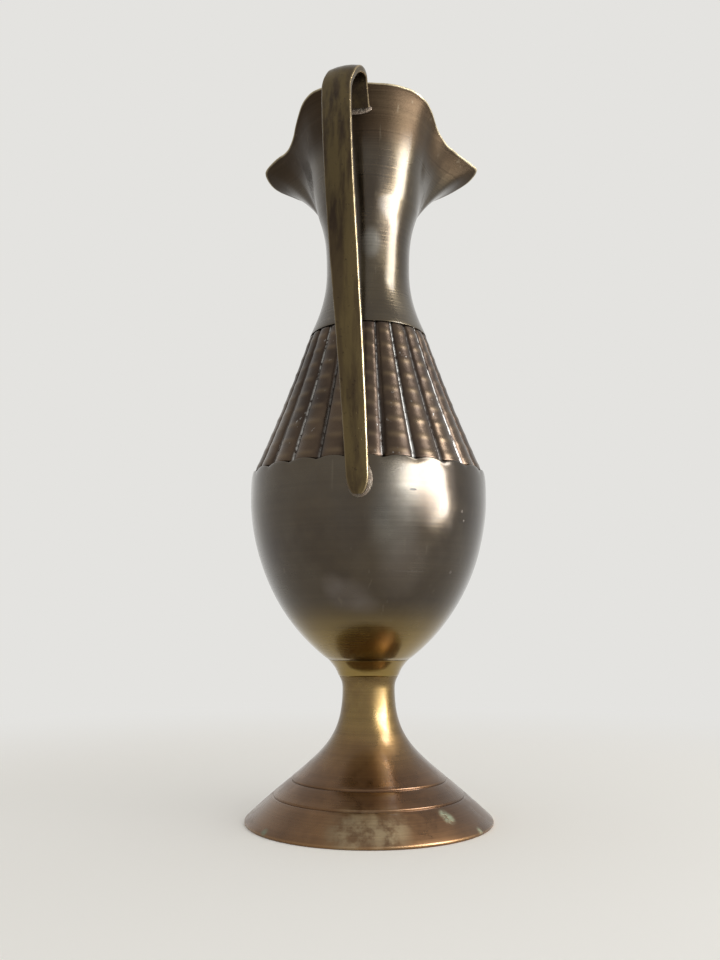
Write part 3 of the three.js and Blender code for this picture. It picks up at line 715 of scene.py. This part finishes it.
def strapLine(backColumn):
    # points of the strap's middle line as (0, y, z), evenly spaced, and its directions
    s = handleShape
    rimHeight, rimRadius = neckShape["topHeight"] + rimStations[0][2], rimStations[0][1]
    seatHeight = rimHeight - s["seatDrop"]
    upper = next(place for place, point in enumerate(backColumn) if point.z >= seatHeight)
    low, high = backColumn[upper - 1], backColumn[upper]
    wallReach = -(low.y + (high.y - low.y) * (seatHeight - low.z) / (high.z - low.z))
    seatReach = wallReach + s["thickness"] / 2 + s["gap"] / 2
    hookHeight, hookReach = rimHeight - s["hookDrop"], rimRadius + s["rimClearance"] + s["hookRadius"]
    hook = []
    for step in range(6):
        turn = math.radians(s["hookArc"][0] + (s["hookArc"][1] - s["hookArc"][0]) * step / 5)
        hook.append((hookReach + s["hookRadius"] * math.cos(turn),
                     hookHeight + s["hookRadius"] * math.sin(turn)))
    strapEnd = bowlShape["top"] - s["footDrop"]
    footReach = bowlShape["radius"] + s["gap"] + s["thickness"] / 2
    bowReach = (8 * s["reach"] - hook[-1][0] - footReach) / 6
    bow = bend(hook[-1], (bowReach, hook[-1][1] - s["bowLength"]), (bowReach, strapEnd + s["bowLength"]),
               (footReach, strapEnd), 9)
    points = [Vector((0, -reach, height)) for reach, height in [(seatReach, seatHeight)] + hook + bow[1:]]
    fine = [splinePoint(points, step / 1200, False) for step in range(1201)]
    lengths = [0.0]
    for near, far in zip(fine, fine[1:]):
        lengths.append(lengths[-1] + (far - near).length)
    line, place = [], 0
    for row in range(s["rows"] + 1):
        wanted = lengths[-1] * row / s["rows"]
        while place < 1199 and lengths[place + 1] < wanted:
            place += 1
        share = (wanted - lengths[place]) / (lengths[place + 1] - lengths[place])
        line.append((fine[place].lerp(fine[place + 1], share), (fine[place + 1] - fine[place]).normalized()))
    return line, lengths[-1], (seatHeight, seatReach), (strapEnd, footReach)


def strapShift(height, share):
    # the strap leans to the left as it climbs, and its hook swings part of the way back
    s = handleShape
    strapEnd = bowlShape["top"] - s["footDrop"]
    hookTop = neckShape["topHeight"] + rimStations[0][2] - s["hookDrop"] + s["hookRadius"]
    climb = (height - strapEnd) / (hookTop - strapEnd)
    sway = climb * climb * (3 - 2 * climb)
    hook = 1 - smoothStep(*s["hookShares"], share)
    return -s["lean"] * ((1 - s["sway"]) * climb + s["sway"] * sway) + s["hookReturn"] * hook


def makeHandle(line, length):
    s = handleShape
    bm = bmesh.new()
    bmesh.ops.create_cone(bm, cap_ends=True, segments=32, radius1=1, radius2=1, depth=1)
    long = [edge for edge in bm.edges if abs(edge.verts[0].co.z - edge.verts[1].co.z) > 0.5]
    bmesh.ops.subdivide_edges(bm, edges=long, cuts=s["rows"] - 1)
    wearAndHighlightLayer = bm.verts.layers.float.new("edgeWearAndHighlight")
    innerLayer = bm.verts.layers.float.new("innerFace")
    for corner in bm.verts:
        share = min(max(corner.co.z + 0.5, 0), 1)
        column = round(math.atan2(corner.co.y, corner.co.x) / fullTurn * 32) % 32
        point, direction = line[round(share * s["rows"])]
        outward = Vector((0, direction.z, -direction.y))
        topWidth, midWidth, footWidth = s["widths"]
        if share < s["midShare"]:
            width = topWidth + (midWidth - topWidth) * share / s["midShare"]
        else:
            width = midWidth + (footWidth - midWidth) * (share - s["midShare"]) / (1 - s["midShare"])
        fromFoot = min(1, (1 - share) * length / footWidth + 0.12)
        tongue = math.sqrt(1 - (1 - fromFoot) ** 2)
        twist = math.radians(s["twist"][0] + (s["twist"][1] - s["twist"][0]) * share)
        across, out = strapSection(width * tongue, s["thickness"], s["edge"], s["crown"])[column]
        uneven = s["fileMarks"] * noise.noise(Vector((across * 0.5, share * 60, out)))
        across, out = across * (1 + uneven * 0.25), out * (1 + uneven * 0.6)
        side = across * math.cos(twist) - out * math.sin(twist)
        away = across * math.sin(twist) + out * math.cos(twist)
        corner.co = Vector((strapShift(point.z, share) + side, point.y, point.z)) + outward * away
        onEdge = (column - 2) % 8 in (0, 1, 7)
        # edges on the right side get the full pale colour and those on the left a quarter of it: the
        # difference is a painted highlight
        highlightSide = 1.0 if column < 6 or column > 22 else 0.25
        corner[wearAndHighlightLayer] = highlightSide * (1.0 if (column - 2) % 8 == 0 else 0.5 if onEdge else 0.0)
        corner[innerLayer] = 1.0 if 17 < column < 27 else 0.0
    bmesh.ops.recalc_face_normals(bm, faces=bm.faces[:])
    return finishPiece(bm, "strapHandle", handleFinish(), "handle", 60)


# solder, the hidden joints and the peg
solderShape = {
    "spread": 0.75, "footTall": 5.6, "footBelow": 1.0, "footShift": 0.25, "lumps": 0.12, "lumpSize": 0.9,
    "pegRadius": 1.5, "pegBottom": 34.2, "pegTop": 54.3, "pegHead": 2.3, "pegHeadHeight": 1.6,
    "ringSize": 1.6, "ringSeat": 0.3, "ringLumps": 0.16,
}

solderLook = {"tin": srgb(112, 106, 95), "dark": srgb(84, 74, 62), "pink": srgb(108, 94, 82)}


def solderFinish():
    look = solderLook
    material, tree, coords, shader = newFinish("softSolder")
    clouds = keepWithin(tree, grain(tree, coords, 260, 5, 0.65), 0.38, 0.62)
    crust = keepWithin(tree, grain(tree, coords, 900, 5, 0.7), 0.4, 0.62)
    color = blendColor(tree, clouds, look["tin"], look["pink"])
    color = blendColor(tree, times(tree, crust, 0.6), color, look["dark"])
    roughness = keepWithin(tree, crust, 0, 1, 0.42, 0.66)
    applyFinish(tree, shader, color, roughness, [(crust, 0.00006), (clouds, 0.00008)], metallic=0.7)
    return material


def solderDrop(name, half, place, nodeName, seed):
    s = solderShape
    bm = bmesh.new()
    bmesh.ops.create_uvsphere(bm, u_segments=64, v_segments=40, radius=1)
    bmesh.ops.scale(bm, vec=half, verts=bm.verts[:])
    for corner in bm.verts:
        away = corner.co.normalized()
        lump = noise.noise(corner.co * s["lumpSize"] + Vector((seed, 0, 0)))
        corner.co += away * s["lumps"] * (lump - 0.3)
    bmesh.ops.translate(bm, vec=place, verts=bm.verts[:])
    return finishPiece(bm, name, solderMetal, nodeName, 60)


def makeSolder(seat, foot):
    s, h = solderShape, handleShape
    tall = s["footTall"]
    solderDrop("footFillet", (h["widths"][2] / 2 + s["spread"], s["spread"], tall),
               (s["footShift"], -bowlShape["radius"], foot[0] + tall - s["footBelow"]),
               "handle_foot_solder", 3.0)
    half = (h["widths"][0] / 2 + s["spread"], s["spread"], h["thickness"] / 2 + s["spread"])
    solderDrop("seatFillet", half, (strapShift(seat[0], 0), -seat[1] + h["thickness"] / 2, seat[0]),
               "handle_top_solder", 9.0)


def makeJoint(name, outsideRadius, height, nodeName):
    # a lumpy bead of solder run into the inner corner of a joint
    size = solderShape["ringSize"]
    seat = outsideRadius - ribDepth - sheetWall - solderShape["ringSeat"]
    outline = [(seat, height - size)]
    outline += bend((seat, height - size), (seat - size * 0.8, height - size * 0.5),
                    (seat - size * 1.1, height + size * 0.2), (seat - size * 0.4, height + size), 8)[1:]
    bm = spinOutline(outline, 144)
    for corner in bm.verts:
        radius = math.hypot(corner.co.x, corner.co.y)
        if radius < seat - 0.1:
            pull = solderShape["ringLumps"] * (noise.noise(corner.co * 0.4) - 0.4)
            corner.co.x -= pull * corner.co.x / radius
            corner.co.y -= pull * corner.co.y / radius
    return finishPiece(bm, name, solderMetal, nodeName, 60)


def makePeg():
    s = solderShape
    head, headTop = s["pegRadius"] + s["pegHead"], s["pegTop"] + s["pegHeadHeight"]
    outline = [(0, s["pegBottom"]), (s["pegRadius"], s["pegBottom"]), (s["pegRadius"], s["pegTop"]),
               (head, s["pegTop"]), (head - 1, headTop), (0, headTop)]
    bm = spinOutline(outline, 64, closed=False)
    easeRings(bm, [(s["pegRadius"], s["pegBottom"]), (head, s["pegTop"]), (head - 1, headTop)], 0.25)
    return finishPiece(bm, "centrePeg", bowlBrass, "joining_peg")


# finishes of the body; a mark is its place, size, softness, stretch, tint and share
hazeAndSheen, milkAndSheen, ink = srgb(112, 104, 98), srgb(126, 124, 118), srgb(30, 25, 24)
bodyLook = {
    "brass": srgb(73, 62, 46), "deep": srgb(55, 44, 32), "grey": srgb(82, 74, 62),
    "gold": srgb(156, 130, 62), "scratch": srgb(132, 122, 104), "lip": srgb(196, 182, 152),
    "cloudScale": 24, "goldFrom": 0.052, "goldTo": 0.069, "lineShade": 0.035,
    "linesPerMetre": 2200, "lineDepth": 0.000012, "smooth": 0.17, "dull": 0.27,
    "coat": 0.7, "coatRoughness": 0.15,
    # above these heights the sheet is dull, and its colour is darkened as painted shade
    "dullShadeFrom": 0.25, "dullShadeTo": 0.26, "tarnish": 0.24, "paintedShadeBrown": srgb(56, 44, 33),
    "marks": [
        ((0.0160, -0.0359, 0.1007), 0.0006, 0.0003, (0.55, 1, 2.2), ink, 1.0),
        ((0.0067, -0.0381, 0.0946), 0.0010, 0.0035, (1, 1, 0.7), ink, 0.45),
        # a pale grey patch at the soft side of the lamp's reflection on the bowl: painted sheen
        ((0.0105, -0.0372, 0.0950), 0.0020, 0.0110, (1.3, 1, 0.55), milkAndSheen, 0.5),
        ((-0.0042, -0.0301, 0.0697), 0.0022, 0.0048, (0.8, 1, 1), hazeAndSheen, 0.45),
        ((-0.0085, -0.0308, 0.0730), 0.0010, 0.0040, (1, 1, 1), hazeAndSheen, 0.38),
        ((0.0010, -0.0288, 0.0668), 0.0010, 0.0032, (0.7, 1, 1), hazeAndSheen, 0.32),
        # a pale grey patch below the lamp's reflection on the bowl: painted sheen that carries the reflection
        # further down
        ((0.0125, -0.0319, 0.0795), 0.0020, 0.0080, (1, 1, 0.6), hazeAndSheen, 0.35),
        ((0.0145, -0.0306, 0.0769), 0.0040, 0.0012, (0.9, 0.9, 24), hazeAndSheen, 0.3),
        ((0.0306, -0.0239, 0.0955), 0.0002, 0.0005, (1, 1, 1), hazeAndSheen, 1.0),
        ((0.0311, -0.0226, 0.0927), 0.0002, 0.0004, (1, 1, 1), hazeAndSheen, 1.0),
        ((0.0268, -0.0209, 0.0771), 0.0002, 0.0005, (1, 1, 1), hazeAndSheen, 1.0),
    ],
}
neckLook = dict(bodyLook, brass=srgb(78, 68, 51), deep=srgb(59, 49, 37), goldFrom=0.0, goldTo=0.001,
                linesPerMetre=1700, lineDepth=0.000045, lineShade=0.14, smooth=0.22, dull=0.34, coat=0.6,
                dullShadeFrom=0.216, dullShadeTo=0.23,
                marks=[((0.0020, -0.0143, 0.1885), 0.0012, 0.0030, (1, 1, 0.6), milkAndSheen, 0.55)])
bowlBrass = bodyFinish("bowlBrass", bodyLook)
neckBrass = bodyFinish("neckBrass", neckLook)
solderMetal = solderFinish()

makeFoot()
makeCollar()
makeBowl()
makeShoulder()
neck, backColumn = makeNeck()
strap, strapLength, seatPlace, footPlace = strapLine(backColumn)
makeHandle(strap, strapLength)
makeSolder(seatPlace, footPlace)
makeJoint("bowlSeamSolder", shoulderShape["baseRadius"], bowlTop, "bowl_joint_solder")
makeJoint("neckSeamSolder", neckRadius, neckBottom, "neck_joint_solder")
makePeg()

# stage, light and camera
studio = {
    "floorSize": 3.0, "floorColor": srgb(245, 243, 239), "skyColor": srgb(228, 227, 224), "skyLight": 1.0,
    "fadeFrom": 0.13, "fadeTo": 0.4, "lampColor": (0.97, 0.99, 1.0), "fadePower": 1.4,
    "cameraPlace": (0.0218, -0.2932, 0.0608), "cameraTurn": (99.43, 0, 4.8), "lens": 33.0,
}

# azimuth from the handle side to the right, distance, height of the middle, width and height, watts,
# tilt in its own plane, share of its width over which it fades in, how much further in that starts
# at its lower edge, and whether it lights the floor
softBoxes = {
    "windowLight": {"azimuth": 52, "distance": 0.42, "height": 0.11, "size": (0.46, 0.26), "watts": 8.4,
                    "tilt": 18, "fadeIn": 0.58, "slant": 0.42, "onFloor": False},
    "narrowLight": {"azimuth": 67, "distance": 0.42, "height": 0.39, "size": (0.25, 0.28), "watts": 3.6,
                    "tilt": 10, "fadeIn": 0.5, "slant": 0.0, "onFloor": False},
    "softLight": {"azimuth": 54, "distance": 0.44, "height": 0.16, "size": (0.66, 0.4), "watts": 0.9,
                  "tilt": 0, "fadeIn": 0.3, "slant": 0.0, "onFloor": True},
}


def makeStage():
    bm = bmesh.new()
    bmesh.ops.create_grid(bm, x_segments=2, y_segments=2, size=studio["floorSize"])
    mesh = bpy.data.meshes.new("floor")
    bm.to_mesh(mesh)
    bm.free()
    floor = bpy.data.objects.new("floor", mesh)
    bpy.context.scene.collection.objects.link(floor)
    material, tree, coords, shader = newFinish("paleFloor")
    shader.inputs["Base Color"].default_value = studio["floorColor"]
    shader.inputs["Roughness"].default_value = 0.9
    shader.inputs["Specular IOR Level"].default_value = 0.1
    # far off, the floor fades into the colour of the backdrop
    away = addNode(tree, "VectorMath", {"operation": "LENGTH"}, {0: coords}).outputs["Value"]
    seen = seenDirectly(tree)
    fade = times(tree, keepWithin(tree, away, studio["fadeFrom"], studio["fadeTo"]), seen)
    glow = addNode(tree, "Emission", None, {"Color": studio["skyColor"], "Strength": 1.0}).outputs[0]
    mix = addNode(tree, "MixShader", None, {0: fade, 1: shader.outputs[0], 2: glow}).outputs[0]
    tree.links.new(mix, tree.nodes["Material Output"].inputs["Surface"])
    mesh.materials.append(material)
    floor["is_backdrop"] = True
    world = bpy.data.worlds.new("studioSky")
    bpy.context.scene.world = world
    world.use_nodes = True
    tree = world.node_tree
    back = tree.nodes["Background"]
    back.inputs["Color"].default_value = studio["skyColor"]
    strength = keepWithin(tree, seenDirectly(tree), 0, 1, studio["skyLight"], 1.0)
    tree.links.new(strength, back.inputs["Strength"])


def seenDirectly(tree):
    # 1 for the camera's own rays and for those that metal reflects
    path = addNode(tree, "LightPath")
    return largest(tree, [path.outputs[name] for name in
                          ("Is Camera Ray", "Is Glossy Ray", "Is Transmission Ray")])


def fadeSide(lamp, share, slant):
    # the lamp grows brighter from the side nearer the camera over this share of its width, and
    # starts further in towards its lower edge
    lamp.use_nodes = True
    tree = lamp.node_tree
    place = addNode(tree, "NewGeometry").outputs["Parametric"]
    parts = addNode(tree, "SeparateXYZ", None, {0: place}).outputs
    start = keepWithin(tree, parts["Y"], 0, 1, slant, 0.0)
    across = calc(tree, "SUBTRACT", parts["X"], start)
    strength = calc(tree, "POWER", keepWithin(tree, across, 0, share), studio["fadePower"])
    tree.links.new(strength, tree.nodes["Emission"].inputs["Strength"])


def makeLights():
    for name, box in softBoxes.items():
        lamp = bpy.data.lights.new(name, "AREA")
        lamp.shape = "RECTANGLE"
        lamp.size, lamp.size_y = box["size"]
        lamp.energy = box["watts"]
        lamp.color = studio["lampColor"]
        fadeSide(lamp, box["fadeIn"], box["slant"])
        holder = bpy.data.objects.new(name, lamp)
        azimuth = math.radians(box["azimuth"])
        holder.location = (box["distance"] * math.sin(azimuth), -box["distance"] * math.cos(azimuth),
                           box["height"])
        holder.rotation_euler = (Euler((math.radians(90), 0, azimuth)).to_matrix()
                                 @ Matrix.Rotation(math.radians(box["tilt"]), 3, "Z")).to_euler()
        holder.visible_camera = False
        holder.visible_diffuse = box["onFloor"]
        bpy.context.scene.collection.objects.link(holder)


def makeCamera():
    lens = bpy.data.cameras.new("photoView")
    lens.lens = studio["lens"]
    lens.sensor_width = 36
    lens.clip_start, lens.clip_end = 0.01, 20
    holder = bpy.data.objects.new("photoView", lens)
    holder.location = studio["cameraPlace"]
    holder.rotation_euler = Euler([math.radians(turn) for turn in studio["cameraTurn"]])
    bpy.context.scene.collection.objects.link(holder)
    bpy.context.scene.camera = holder


makeStage()
makeLights()
makeCamera()
bpy.context.scene.view_settings.view_transform = "Standard"
print("stage, lights and camera set")

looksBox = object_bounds()
for label, box in (("cad", cadBox), ("looks", looksBox)):
    print(label, "box", [[round(part, 4) for part in corner] for corner in box])
